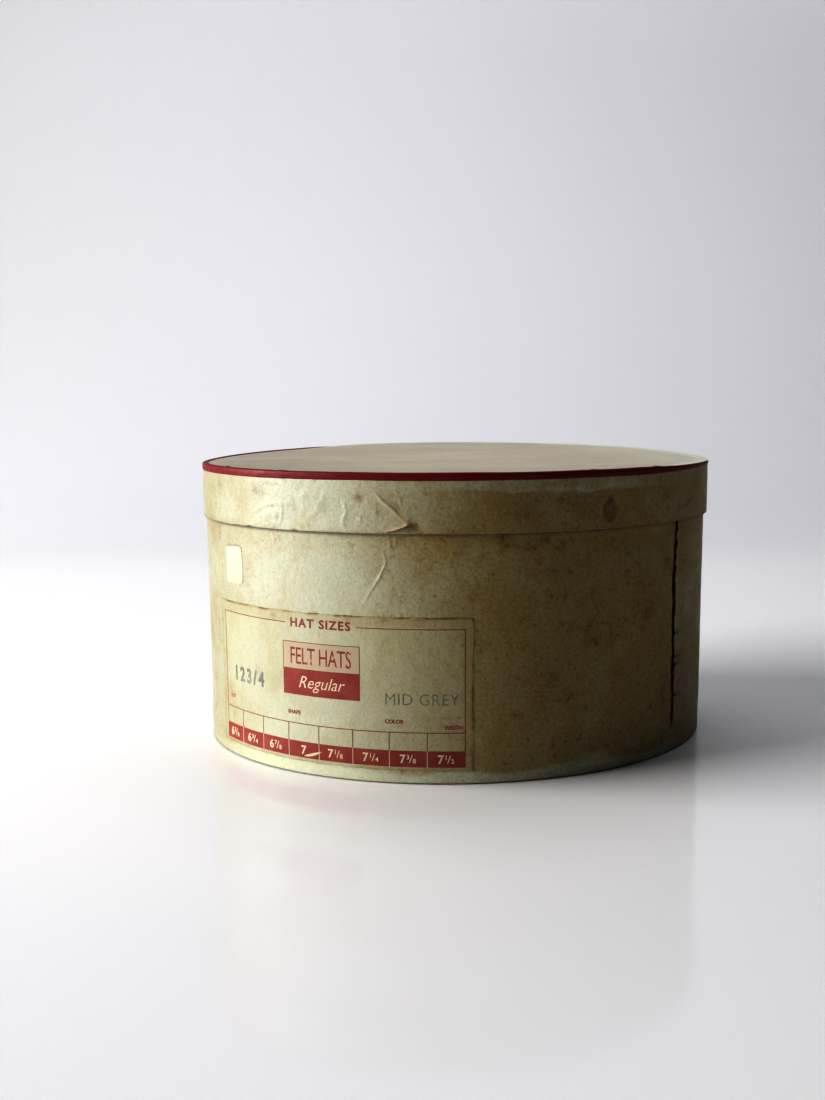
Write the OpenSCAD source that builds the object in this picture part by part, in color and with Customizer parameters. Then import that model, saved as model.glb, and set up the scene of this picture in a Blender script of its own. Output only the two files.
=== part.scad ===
/* [Box] */
// Length of the closed box's wall, outside its cover paper
box_length = 336; // [260:1:420]
// Width of the closed box's wall, outside its cover paper
box_width = 282; // [220:1:360]
// Height of the closed box, from the table to the top of the red binding
total_height = 182; // [140:1:220]
// Flat faces round the oval
facets = 120; // [72:4:160]

/* [Pasteboard] */
// Thickness of the wall strip
wall_board = 1.6; // [1.2:0.1:2.4]
// Thickness of the bottom board
bottom_board_thickness = 2; // [1.2:0.1:3]
// Thickness of the lid's top board
lid_board = 1.8; // [1.2:0.1:2.6]
// Thickness of the lid's rim strip
rim_board = 1.15; // [0.8:0.05:1.8]
// Thickness of the cover and lining papers
paper = 0.25; // [0.2:0.05:0.4]
// Thickness of the label and sticker papers
label_paper = 0.2; // [0.15:0.05:0.3]

/* [Lid] */
// Height of the lid, from the rim's lower edge to the top of the binding
lid_height = 34.6; // [24:0.2:50]
// Gap between the box wall and the inside of the rim
rim_gap = 0.42; // [0.35:0.01:1]
// Gap between the box wall's top edge and the lid's lining
rest_gap = 0.3; // [0.25:0.05:0.6]
// Height of the red binding on the side of the rim
binding_height = 4.6; // [3:0.1:8]
// Width of the red binding, across the top of the rim
binding_width = 4.2; // [3:0.1:6]
// How far the binding stands proud of the rim paper
binding_proud = 0.45; // [0.2:0.05:0.8]
// How far the top panel lies below the top of the binding
panel_recess = 1.5; // [0.5:0.1:3]

/* [Paper edges] */
// Width of the cover paper turned over the wall's top edge
top_turn_in = 14; // [8:1:20]
// Width of the cover paper turned under the bottom board
bottom_turn_in = 14; // [8:1:20]
// Width of the cover paper turned inside the rim's lower edge
rim_turn_in = 10; // [6:1:16]
// Width of each leg of the gummed strips in the inside corners
corner_leg = 12; // [8:1:16]
// Margin left between the wall and the paper under the bottom
bottom_margin = 4; // [2:1:8]

/* [Joint in the wall] */
// Distance of the joint from the front centre, along the wall
joint_place = 125; // [60:1:200]
// Gap between the butted ends of the wall strip
joint_gap = 0.8; // [0.5:0.1:1.5]
// Width of the split in the cover paper over the joint
split_gap = 1.2; // [0.8:0.1:2]
// Height of the lower end of the split
split_bottom = 15; // [5:1:60]
// Width of the gummed tape inside the joint
tape_width = 30; // [20:1:50]
// Distance of the lid rim's joint from the front centre, along the wall
rim_joint_place = 330; // [300:1:380]

/* [Label and sticker] */
// Distance of the label's right edge from the front centre, to the left
label_right = 21; // [10:1:60]
// Width of the label
label_width = 180; // [100:1:220]
// Height of the label
label_height = 91; // [60:1:110]
// Height of the label's lower edge above the table
label_bottom = 8; // [4:1:40]
// Distance of the sticker's centre from the front centre, to the left
sticker_place = 182.5; // [120:0.5:230]
// Width of the sticker
sticker_width = 18.5; // [8:0.5:30]
// Height of the sticker
sticker_height = 23; // [10:1:40]
// Height of the sticker's centre above the table
sticker_middle = 122; // [110:1:130]

/* [Hidden] */

// Layers of the box, as insets from the outside of its cover paper
wall_outside = paper;
wall_inside = wall_outside + wall_board;
lining_inside = wall_inside + paper;

// Layers of the lid's rim, as insets too, so all of them are negative
rim_lining_inside = -rim_gap;
rim_board_inside = rim_lining_inside - paper;
rim_board_outside = rim_board_inside - rim_board;
rim_outside = rim_board_outside - paper;
binding_outside = rim_outside - binding_proud;
binding_inside = binding_outside + binding_width;

// Heights, from the table up
bottom_paper_top = paper;
turn_in_top = bottom_paper_top + paper;
floor_board_top = turn_in_top + bottom_board_thickness;
floor_lining_top = floor_board_top + paper;
corner_strip_top = floor_board_top + corner_leg;
panel_top = total_height - panel_recess;
lid_board_top = panel_top - paper;
lid_board_bottom = lid_board_top - lid_board;
lid_lining_bottom = lid_board_bottom - paper;
wall_top = lid_lining_bottom - rest_gap;
wall_board_top = wall_top - paper;
turn_in_bottom = wall_top - top_turn_in;
rim_bottom = total_height - lid_height;
rim_board_bottom = rim_bottom + paper;
rim_turn_in_top = rim_bottom + rim_turn_in;
rim_board_top = panel_top;
binding_bottom = total_height - binding_height;
binding_cap_bottom = panel_top;
lid_corner_bottom = lid_board_bottom - corner_leg;

// Colours
sage = [0.72, 0.71, 0.56];
grey_beige = [0.69, 0.66, 0.58];
crimson = [0.63, 0.12, 0.16];
pasteboard = [0.60, 0.55, 0.45];
cream = [0.90, 0.87, 0.74];
kraft = [0.66, 0.52, 0.36];

// Point of the oval that lies `inset` inside the cover paper, at one angle of its two half axes
function oval_point(angle, inset) =
    [(box_length / 2 - inset) * cos(angle), (box_width / 2 - inset) * sin(angle)];

// Outline of that oval; every layer has its corners at the same angles
function oval(inset) = [for (i = [0 : facets - 1]) oval_point(360 * i / facets, inset)];

// Length of wall between one degree of the oval's angle and the next
function degree_length(angle) = norm(oval_point(angle + 1, 0) - oval_point(angle, 0));

// Angle reached by walking `distance` along the wall from `angle`, counterclockwise
function walk(angle, distance) =
    distance <= degree_length(angle) ? angle + distance / degree_length(angle)
                                     : walk(angle + 1, distance - degree_length(angle));

// Angle at a distance from the front centre, where the right side counts as positive
front = -90;
function wall_angle(distance) =
    distance >= 0 ? walk(front, distance) : 2 * front - walk(front, -distance);

// Ring between two ovals and two heights
module ring(outside, inside, bottom, top) {
    translate([0, 0, bottom])
        linear_extrude(top - bottom)
            difference() {
                polygon(oval(outside));
                polygon(oval(inside));
            }
}

// Full oval between two heights
module disc(inset, bottom, top) {
    translate([0, 0, bottom])
        linear_extrude(top - bottom)
            polygon(oval(inset));
}

// Wedge from the centre that holds the stretch of wall between two distances
module wedge(from, to, bottom, top) {
    reach = 1.5;
    steps = 4;
    start = wall_angle(from);
    turn = (wall_angle(to) - start) / steps;
    rays = [for (i = [0 : steps]) reach * oval_point(start + i * turn, 0)];
    translate([0, 0, bottom])
        linear_extrude(top - bottom)
            polygon(concat([[0, 0]], rays));
}

// Narrow radial slot across the wall at one distance
module slot(place, width, bottom, top) {
    wedge(place - width / 2, place + width / 2, bottom, top);
}

// Box

module wall_strip() {
    color(pasteboard)
        difference() {
            ring(wall_outside, wall_inside, turn_in_top, wall_board_top);
            slot(joint_place, joint_gap, 0, total_height);
        }
}

module bottom_board() {
    color(pasteboard)
        disc(wall_inside, turn_in_top, floor_board_top);
}

// One sheet that covers the wall, turned over its top edge and under the bottom board
module wall_cover_paper() {
    color(sage)
        difference() {
            union() {
                ring(0, wall_outside, bottom_paper_top, wall_top);
                ring(wall_outside, wall_inside, wall_board_top, wall_top);
                ring(wall_inside, lining_inside, turn_in_bottom, wall_top);
                ring(wall_outside, bottom_turn_in, bottom_paper_top, turn_in_top);
            }
            slot(joint_place, split_gap, split_bottom, total_height);
        }
}

module bottom_cover_paper() {
    color(sage)
        disc(bottom_margin, 0, bottom_paper_top);
}

// The linings meet the gummed strips and the turned-in cover paper edge to edge
module wall_lining_paper() {
    color(cream)
        difference() {
            ring(wall_inside, lining_inside, corner_strip_top, turn_in_bottom);
            slot(joint_place, tape_width, 0, total_height);
        }
}

module floor_lining_paper() {
    color(cream)
        disc(wall_inside + corner_leg, floor_board_top, floor_lining_top);
}

module wall_joint_tape() {
    color(kraft)
        intersection() {
            ring(wall_inside, lining_inside, corner_strip_top, turn_in_bottom);
            slot(joint_place, tape_width, 0, total_height);
        }
}

module floor_corner_strip() {
    color(kraft)
        union() {
            ring(wall_inside, lining_inside, floor_board_top, corner_strip_top);
            ring(lining_inside, wall_inside + corner_leg, floor_board_top, floor_lining_top);
        }
}

module size_label() {
    color(cream)
        intersection() {
            ring(-label_paper, 0, label_bottom, label_bottom + label_height);
            wedge(-label_right - label_width, -label_right, 0, total_height);
        }
}

module price_sticker() {
    color(cream)
        intersection() {
            ring(-label_paper, 0, sticker_middle - sticker_height / 2, sticker_middle + sticker_height / 2);
            slot(-sticker_place, sticker_width, 0, total_height);
        }
}

// Lid

module lid_top_board() {
    color(pasteboard)
        disc(rim_board_inside, lid_board_bottom, lid_board_top);
}

module lid_rim_strip() {
    color(pasteboard)
        difference() {
            ring(rim_board_outside, rim_board_inside, rim_board_bottom, rim_board_top);
            slot(rim_joint_place, joint_gap, 0, total_height);
        }
}

module lid_top_paper() {
    color(grey_beige)
        disc(rim_board_inside, lid_board_top, panel_top);
}

// One strip that covers the rim and is turned in under its lower edge
module lid_rim_paper() {
    color(sage)
        union() {
            ring(rim_outside, rim_board_outside, rim_bottom, rim_board_top);
            ring(rim_board_outside, rim_board_inside, rim_bottom, rim_board_bottom);
            ring(rim_board_inside, rim_lining_inside, rim_bottom, rim_turn_in_top);
        }
}

// Red strip folded over the rim's top edge, down its side and onto the top panel
module lid_edge_binding() {
    color(crimson)
        union() {
            ring(binding_outside, rim_outside, binding_bottom, total_height);
            ring(rim_outside, binding_inside, binding_cap_bottom, total_height);
        }
}

module lid_lining_paper() {
    color(cream)
        disc(rim_board_inside + corner_leg, lid_lining_bottom, lid_board_bottom);
}

module rim_lining_paper() {
    color(cream)
        difference() {
            ring(rim_board_inside, rim_lining_inside, rim_turn_in_top, lid_corner_bottom);
            slot(rim_joint_place, tape_width, 0, total_height);
        }
}

module rim_joint_tape() {
    color(kraft)
        intersection() {
            ring(rim_board_inside, rim_lining_inside, rim_turn_in_top, lid_corner_bottom);
            slot(rim_joint_place, tape_width, 0, total_height);
        }
}

module lid_corner_strip() {
    color(kraft)
        union() {
            ring(rim_board_inside, rim_lining_inside, lid_corner_bottom, lid_board_bottom);
            ring(rim_lining_inside, rim_board_inside + corner_leg, lid_lining_bottom, lid_board_bottom);
        }
}

wall_strip();
bottom_board();
wall_cover_paper();
bottom_cover_paper();
wall_lining_paper();
floor_lining_paper();
wall_joint_tape();
floor_corner_strip();
size_label();
price_sticker();
lid_top_board();
lid_rim_strip();
lid_top_paper();
lid_rim_paper();
lid_edge_binding();
lid_lining_paper();
rim_lining_paper();
rim_joint_tape();
lid_corner_strip();
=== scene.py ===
"""The looks of an oval hat box of papered pasteboard, with a red-edged lift-off lid and a size label.

Lengths are in metres unless a comment says mm. A place on the wall is given by its distance along the
wall from the front centre (to the right is positive), its height, and how far it stands out.
"""

import math

import bmesh
import bpy
import numpy as np
from mathutils import Matrix, Vector

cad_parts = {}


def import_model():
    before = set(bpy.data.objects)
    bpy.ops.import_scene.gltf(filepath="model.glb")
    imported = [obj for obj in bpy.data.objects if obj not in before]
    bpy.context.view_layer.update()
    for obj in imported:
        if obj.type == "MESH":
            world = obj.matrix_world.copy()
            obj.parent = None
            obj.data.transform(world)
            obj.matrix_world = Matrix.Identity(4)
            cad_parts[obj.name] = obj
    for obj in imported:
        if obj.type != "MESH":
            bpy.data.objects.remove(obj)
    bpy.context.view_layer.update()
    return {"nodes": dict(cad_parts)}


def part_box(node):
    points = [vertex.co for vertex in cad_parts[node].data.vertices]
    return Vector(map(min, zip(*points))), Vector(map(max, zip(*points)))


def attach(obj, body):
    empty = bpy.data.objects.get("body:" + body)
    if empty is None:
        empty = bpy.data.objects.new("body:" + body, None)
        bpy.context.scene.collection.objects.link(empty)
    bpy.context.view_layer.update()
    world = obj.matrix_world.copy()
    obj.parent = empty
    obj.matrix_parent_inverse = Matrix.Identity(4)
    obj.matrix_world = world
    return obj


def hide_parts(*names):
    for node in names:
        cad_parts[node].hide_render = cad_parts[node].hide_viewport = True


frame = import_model()

MM = 0.001

# --- sizes read from the frame

COVER_LOW, COVER_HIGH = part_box("wall_cover_paper")
HALF_LENGTH = COVER_HIGH.x
HALF_WIDTH = COVER_HIGH.y
WALL_TOP = COVER_HIGH.z
LINING_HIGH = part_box("wall_lining_paper")[1]
TURN_IN_BOTTOM = LINING_HIGH.z
BOARD_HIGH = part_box("wall_strip")[1]
PAPER = HALF_LENGTH - BOARD_HIGH.x
THIN_PAPER = PAPER * 0.96  # keeps the layers behind one another from sharing a face
WALL_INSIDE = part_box("bottom_board")[1].x - HALF_LENGTH
LINING_INSIDE = WALL_INSIDE - PAPER

RIM_LOW, RIM_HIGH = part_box("lid_rim_paper")
RIM_OUTSIDE = RIM_HIGH.x - HALF_LENGTH
RIM_BOTTOM = RIM_LOW.z
PANEL_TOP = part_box("lid_top_paper")[1].z
LID_BOARD_LOW, LID_BOARD_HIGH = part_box("lid_top_board")
RIM_BOARD_INSIDE = LID_BOARD_HIGH.x - HALF_LENGTH
RIM_BOARD_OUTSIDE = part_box("lid_rim_strip")[1].x - HALF_LENGTH
RIM_INSIDE = RIM_BOARD_INSIDE - PAPER
RIM_TURN_IN_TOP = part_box("rim_lining_paper")[0].z
LID_CORNER_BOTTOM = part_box("lid_corner_strip")[0].z
LID_LINING_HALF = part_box("lid_lining_paper")[1].x
BINDING_LOW, BINDING_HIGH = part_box("lid_edge_binding")
BINDING_OUTSIDE = BINDING_HIGH.x - HALF_LENGTH
BINDING_BOTTOM = BINDING_LOW.z
BINDING_TOP = BINDING_HIGH.z

# --- the wall as a strip

TABLE_STEPS = 7200
TABLE_ANGLES = np.radians(np.linspace(-270.0, 90.0, TABLE_STEPS + 1))
TABLE_STEP_LENGTHS = np.hypot(
    np.diff(HALF_LENGTH * np.cos(TABLE_ANGLES)), np.diff(HALF_WIDTH * np.sin(TABLE_ANGLES))
)
TABLE_DISTANCES = np.concatenate([[0.0], np.cumsum(TABLE_STEP_LENGTHS)])
PERIMETER = TABLE_DISTANCES[-1]
TABLE_DISTANCES = TABLE_DISTANCES - PERIMETER / 2


def smooth(t):
    """Soft step from 0 to 1."""
    t = np.clip(t, 0.0, 1.0)
    return t * t * (3.0 - 2.0 * t)


def bell(t):
    """Soft bump that is 1 at 0 and fades out over about 2."""
    return np.exp(-np.square(t))


def after(length, start, span):
    """Soft step from 0 to 1 that begins where a length passes start; start and span are in mm."""
    return smooth((length - start * MM) / (span * MM))


def before(length, end, span):
    """Soft step from 1 to 0 that is done where a length reaches end; end and span are in mm."""
    return smooth((end * MM - length) / (span * MM))


def near(length, centre, reach):
    """Soft bump round a centre; centre and reach are in mm."""
    return bell((length - centre * MM) / (reach * MM))


def wrapped(s):
    """Distance along the wall brought back to between minus and plus half the perimeter."""
    return (np.asarray(s) + PERIMETER / 2) % PERIMETER - PERIMETER / 2


def on_wall(s, z, out):
    """Points in space for distances along the wall, heights and how far they stand out."""
    angle = np.interp(wrapped(s), TABLE_DISTANCES, TABLE_ANGLES)
    normal_x, normal_y = np.cos(angle) / HALF_LENGTH, np.sin(angle) / HALF_WIDTH
    length = np.hypot(normal_x, normal_y)
    x = HALF_LENGTH * np.cos(angle) + out * normal_x / length
    y = HALF_WIDTH * np.sin(angle) + out * normal_y / length
    return np.stack(np.broadcast_arrays(x, y, z), axis=-1)


def points_of(piece):
    """Vertices of a mesh object, as an array with a row for each."""
    return np.array([vertex.co for vertex in piece.data.vertices])


def wall_places(piece):
    """Distance along the wall and height of each vertex of a mesh object."""
    x, y, z = points_of(piece).T
    angle = np.arctan2(y / HALF_WIDTH, x / HALF_LENGTH)
    angle = np.where(angle > math.pi / 2, angle - 2 * math.pi, angle)
    return np.interp(angle, TABLE_ANGLES, TABLE_DISTANCES), z


def wall_extent(node):
    """Lowest and highest distance along the wall, and height, of a CAD node that lies on the wall."""
    s, z = wall_places(frame["nodes"][node])
    return s.min(), s.max(), z.min(), z.max()


def field(seed, s, z, cell):
    """Smooth random field from -1 to 1 with lumps about one cell (in mm) across, seamless round the wall."""
    cell = cell * MM
    columns = max(4, round(PERIMETER / cell))
    rows = 128
    lattice = np.random.default_rng(seed).uniform(-1.0, 1.0, (rows, columns))
    across = (s / PERIMETER + 0.5) * columns
    up = z / cell + rows / 2
    column, row = np.floor(across).astype(int), np.floor(up).astype(int)
    tx, ty = smooth(across - column), smooth(up - row)
    c0, c1, r0, r1 = column % columns, (column + 1) % columns, row % rows, (row + 1) % rows
    low = lattice[r0, c0] * (1 - tx) + lattice[r0, c1] * tx
    high = lattice[r1, c0] * (1 - tx) + lattice[r1, c1] * tx
    return low * (1 - ty) + high * ty


def stroke(s, z, points, width, skew=0.0):
    """How strongly each place feels a crease drawn through points of (distance, height), in mm.

    The soft ridge tapers off at both ends; skew makes it broader on one side, steeper on the other."""
    points = np.array(points) * MM
    ridge = np.zeros_like(s)
    pieces = len(points) - 1
    for i in range(pieces):
        (s0, z0), (s1, z1) = points[i], points[i + 1]
        ds, dz = s1 - s0, z1 - z0
        length = math.hypot(ds, dz)
        along = np.clip(((s - s0) * ds + (z - z0) * dz) / length**2, 0.0, 1.0)
        gap_s, gap_z = s - (s0 + along * ds), z - (z0 + along * dz)
        across = (gap_s * dz - gap_z * ds) / length
        travel = (i + along) / pieces
        reach = width * MM * np.where(across > 0, 1 + skew, 1 - skew)
        strength = bell(np.hypot(gap_s, gap_z) / reach) * np.sin(math.pi * (0.08 + 0.84 * travel))
        ridge = np.maximum(ridge, strength)
    return ridge


# --- shapes of the papers

JOINT_PLACE = sum(wall_extent("wall_joint_tape")[:2]) / 2
RIM_JOINT_PLACE = sum(wall_extent("rim_joint_tape")[:2]) / 2
SPLIT_BOTTOM = 15 * MM
TURN_UNDER = 14 * MM
JOINT_TAPE_WIDTH = 30 * MM
# (height, how far the split drifts from the joint) and (height, how far a tear runs), in mm
SPLIT_LINE = ((0, 1.0), (15, 1.0), (61, -0.3), (93, -0.3), (104.6, -1.6), (147.5, 0.6), (178, 0.6))
SPLIT_TEARS = ((36, 2.4), (56, 2.4), (61, 2.8), (76, 2.6), (88, 0.8), (101, 1.0), (118, 0.9))


def split_edge(z, side):
    """Ragged edge of the split in the cover paper: how far it lies from the joint, on the left or right."""
    seed = 11 if side < 0 else 12
    none = 0.0 * z
    opening = after(z - SPLIT_BOTTOM, 0, 5)
    ragged = 0.7 + 0.42 * field(seed, none + 0.1, z, 5.5) + 0.3 * field(seed + 5, none + 0.1, z, 2.4)
    drift = np.interp(z, [place[0] * MM for place in SPLIT_LINE], [place[1] * MM for place in SPLIT_LINE])
    torn = none
    if side > 0:
        for height, reach in SPLIT_TEARS:
            torn = torn + reach * MM * near(z, height, 0.9)
    wide = 1.8 if side < 0 else 3.1
    return side * (0.05 * MM + opening * (wide * MM * np.clip(ragged, 0.45, 1.15) + torn)) + drift


def wall_slack(s, z):
    """How far the whole wall bellies out from a true oval, between its stiff bottom and the lid."""
    hold = after(z, 8, 25) * before(z, 160, 20)
    return MM * hold * (0.5 * field(1, s, z, 140) + 0.16 * field(2, s, z, 45))


def wall_relief(s, z):
    """How far the cover paper stands out from a true oval: slack, cockles, creases, curled split."""
    cockle = 0.05 * field(3, s, z, 13) + 0.035 * field(4, s, z, 5.5)
    bow = [(-72.8, 136), (-71.6, 130), (-75.5, 121.5), (-80.5, 114), (-84.6, 107.5)]
    crease = 0.36 * stroke(s, z, bow, 0.6, -0.4)
    for points, width, height in (
        ([(-69.5, 147), (-68.6, 141), (-69.2, 136)], 0.7, 0.18),
        ([(-66.0, 147), (-65.2, 143), (-66.4, 139)], 0.7, 0.2),
        ([(-92, 150), (-94, 141), (-91, 128)], 1.8, 0.1),
        ([(36, 138), (52, 141), (70, 144)], 1.5, 0.14),
        ([(-128, 103), (-128.4, 112), (-128, 120)], 0.8, 0.1),
    ):
        crease = crease + height * stroke(s, z, points, width)
    from_split = np.abs(s - JOINT_PLACE)
    curl = 0.22 * np.exp(-from_split / (2.6 * MM)) * after(z - SPLIT_BOTTOM, 0, 12)
    lap = 0.16 * before(s - JOINT_PLACE, -8, 0.8) * before(z, 27, 3)
    lap = lap * after(s - JOINT_PLACE, -60, 50)
    return wall_slack(s, z) + MM * (cockle + crease + curl + lap)


LIFT_HEADING = math.radians(10.3)
LIFT_AT_BACK = 3.9 * MM


def lid_lift_at(x, y):
    """How much higher the warped lid lies than a flat one: its back edge has sprung up."""
    cosine, sine = math.cos(LIFT_HEADING), math.sin(LIFT_HEADING)
    across = (x * cosine - y * sine) / HALF_LENGTH
    back = np.clip((x * sine + y * cosine) / HALF_WIDTH, 0.0, 1.2)
    return LIFT_AT_BACK * back**1.5 * (1 - 0.22 * across)


def warp_lid(points):
    """Moves points of the lid up by its warp."""
    points = points.copy()
    points[..., 2] += lid_lift_at(points[..., 0], points[..., 1])
    return points


# (points of distance and height, width and height of the ridge, in mm, and skew where it has one)
RIM_CREASES = (
    ([(-134, 163), (-141, 162.6), (-150, 160.5), (-158, 157), (-164, 152)], 0.75, 0.22),
    ([(-136.5, 164), (-136, 157), (-137.2, 151)], 0.6, 0.4),
    ([(-95.5, 166), (-93.8, 159), (-96, 155), (-94.6, 149)], 0.6, 0.4),
    ([(-104, 173), (-109, 166), (-113, 158), (-122, 152)], 1.1, 0.25),
    ([(-77, 171), (-72, 166), (-65.5, 160.5), (-58.4, 153.2)], 0.95, 0.5, 0.4),
    ([(-76, 163), (-77, 156)], 0.6, 0.2),
    ([(-63, 169), (-61, 161)], 0.8, 0.15),
    ([(-88, 172), (-86, 164)], 0.9, 0.18),
    ([(-84, 160), (-87, 151)], 0.9, 0.16),
    ([(-142, 158), (-140, 153)], 1.2, 0.25),
    ([(-150, 156), (-147, 151)], 1.3, 0.22),
    ([(-118, 172), (-124, 165)], 1.6, 0.2),
    ([(38, 169), (49, 171), (56, 168)], 1.0, 0.25),
    ([(112, 160), (115, 152)], 0.9, 0.25),
    ([(-182, 170), (-176, 162)], 2.0, 0.22),
    ([(210, 166), (232, 160), (241, 152)], 1.3, 0.35),
    ([(-300, 168), (-282, 158)], 2.0, 0.3),
    ([(420, 165), (430, 154)], 1.6, 0.3),
)
TEAR_LEFT, TEAR_PEAK, TEAR_RIGHT = -70.5 * MM, -57.6 * MM, -54.8 * MM
TEAR_HEIGHT = 5.0 * MM


def tear_height(s):
    """How far the torn lower edge of the rim paper lies above the rim's lower edge."""
    rise = 0.2 * after(s - TEAR_LEFT, 0, 1.6)
    rise = rise + 0.8 * np.clip((s - TEAR_LEFT) / (TEAR_PEAK - TEAR_LEFT), 0.0, 1.0) ** 1.35
    fall = np.clip((TEAR_RIGHT - s) / (TEAR_RIGHT - TEAR_PEAK), 0.0, 1.0) ** 0.8
    nick = 0.9 * MM * near(s, -161.5, 3.4) + 0.8 * MM * near(s, -127, 0.9)
    chips = 0.35 * MM * np.clip(field(31, s, 0 * s, 2.3) - 0.62, 0.0, 1.0) / 0.38
    return TEAR_HEIGHT * rise * fall + nick + chips


def rim_slack(s, z):
    """How far the whole rim bellies out from a true oval below its binding."""
    hold = 0.3 + 0.7 * before(z - BINDING_BOTTOM, 0, 8)
    return MM * hold * (0.22 + 0.24 * field(5, s, z, 90) + 0.1 * field(6, s, z, 24))


def rim_relief(s, z):
    """How far the rim paper stands out from a true oval."""
    cockle = 0.05 * field(7, s, z, 9) + 0.03 * field(8, s, z, 4)
    crease = np.zeros_like(s)
    for points, width, height, *skew in RIM_CREASES:
        crease = crease + height * stroke(s, z, points, width, *skew)
    blister = 0.3 * near(s, -147, 9) * near(z, 156, 4)
    above = z - (RIM_BOTTOM + tear_height(s))
    lifted = after(s - TEAR_LEFT, -2, 10) * before(s - TEAR_PEAK, 2.6, 4)
    flap = 0.75 * lifted * np.exp(-np.clip(above, 0.0, 1.0) / (3.5 * MM))
    nick = 0.5 * near(s, -161, 4) * np.exp(-np.clip(above, 0.0, 1.0) / (2 * MM))
    hold = before(z - BINDING_BOTTOM, 0, 8)
    return rim_slack(s, z) + MM * (blister * hold + cockle + crease * hold + flap + nick)


# --- mesh building


SHARP_ANGLE = math.radians(50)


def new_piece(name, body, slot, solid, replaces=(), material=None):
    """Makes a mesh piece of (vertices, faces), attaches it to its body, gives it its slot's material unless
    a material is given, and hides the CAD nodes it replaces.
    """
    vertices, faces = solid
    mesh = bpy.data.meshes.new(name)
    mesh.from_pydata([tuple(v) for v in vertices], [], faces)
    mesh.validate()
    mesh.polygons.foreach_set("use_smooth", [True] * len(mesh.polygons))
    mesh.set_sharp_from_angle(angle=SHARP_ANGLE)
    mesh.materials.append(material or MATERIALS[slot])
    piece = bpy.data.objects.new(name, mesh)
    bpy.context.scene.collection.objects.link(piece)
    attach(piece, body)
    if replaces:
        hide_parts(*replaces)
    return piece


def grid_faces(rows, columns, first, loop, flip):
    """Quads of a grid of vertices, numbered row by row from first; rows may close into a loop."""
    row = np.arange(rows if loop else rows - 1)[:, None]
    column = np.arange(columns - 1)[None, :]
    following = (row + 1) % rows
    quads = np.stack([
        first + row * columns + column,
        first + following * columns + column,
        first + following * columns + column + 1,
        first + row * columns + column + 1,
    ], axis=-1).reshape(-1, 4)
    return (quads[:, ::-1] if flip else quads).tolist()


def strip_faces(a, b, flip):
    """Quads between two lists of vertex numbers of the same length."""
    quads = [[a[i], b[i], b[i + 1], a[i + 1]] for i in range(len(a) - 1)]
    return [q[::-1] for q in quads] if flip else quads


def shell(outer, inner, loop):
    """Closed thin solid between two grids of points: rows follow the wall, columns follow the section."""
    rows, columns = outer.shape[:2]
    count = rows * columns
    vertices = np.concatenate([outer.reshape(-1, 3), inner.reshape(-1, 3)])
    faces = grid_faces(rows, columns, 0, loop, False) + grid_faces(rows, columns, count, loop, True)
    first = [i * columns for i in range(rows)] + ([0] if loop else [])
    last = [i * columns + columns - 1 for i in range(rows)] + ([columns - 1] if loop else [])
    faces += strip_faces(first, [count + i for i in first], False)
    faces += strip_faces(last, [count + i for i in last], True)
    if not loop:
        start = list(range(columns))
        end = [(rows - 1) * columns + i for i in range(columns)]
        faces += strip_faces(start, [count + i for i in start], True)
        faces += strip_faces(end, [count + i for i in end], False)
    return vertices, faces


def spaced(*stretches):
    """Places along a line: stretches of (start, end, spacing) in mm, joined end to end."""
    places = []
    for start, end, spacing in stretches:
        count = max(1, round((end - start) / spacing))
        places += [start + (end - start) * i / count for i in range(count)]
    places.append(stretches[-1][1])
    return np.array(places) * MM


def arc_path(centre, radius, start, end, count):
    """Points of an arc in the section, as (out, height); angles in degrees."""
    return [
        (centre[0] + radius * math.cos(math.radians(a)), centre[1] + radius * math.sin(math.radians(a)))
        for a in np.linspace(start, end, count)
    ]


def straight(start, end, count):
    """Points of a straight line in the section, without its last point."""
    return [
        (start[0] + (end[0] - start[0]) * i / count, start[1] + (end[1] - start[1]) * i / count)
        for i in range(count)
    ]


def upright(out, start, end, count):
    """Points of an upright line in the section."""
    return [(out, z) for z in np.linspace(start, end, count)]


def inside_of(path, thickness):
    """The path moved to its left-hand side by a thickness."""
    path = np.array(path)
    ahead = np.gradient(path, axis=0)
    ahead /= np.linalg.norm(ahead, axis=1, keepdims=True)
    return path + thickness * np.stack([-ahead[:, 1], ahead[:, 0]], axis=1)


def swept(path, thickness, s_values, shape, loop):
    """Shell whose section is a path of (out, height), carried along the wall.

    The path runs so that the visible side is on its right; shape(s, z, out) gives points in space."""
    outer = np.array(path)
    inner = inside_of(path, thickness)
    grids = []
    for section in (outer, inner):
        s = np.repeat(s_values[:, None], len(section), axis=1)
        out = np.repeat(section[None, :, 0], len(s_values), axis=0)
        z = np.repeat(section[None, :, 1], len(s_values), axis=0)
        grids.append(shape(s, z, out))
    return shell(grids[0], grids[1], loop)


ROUND_THE_WALL = spaced((-PERIMETER / 2 / MM, PERIMETER / 2 / MM, 3.0))[:-1]


# --- materials


def rgb(red, green, blue):
    """Colour with an alpha of 1."""
    return (red, green, blue, 1.0)


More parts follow.
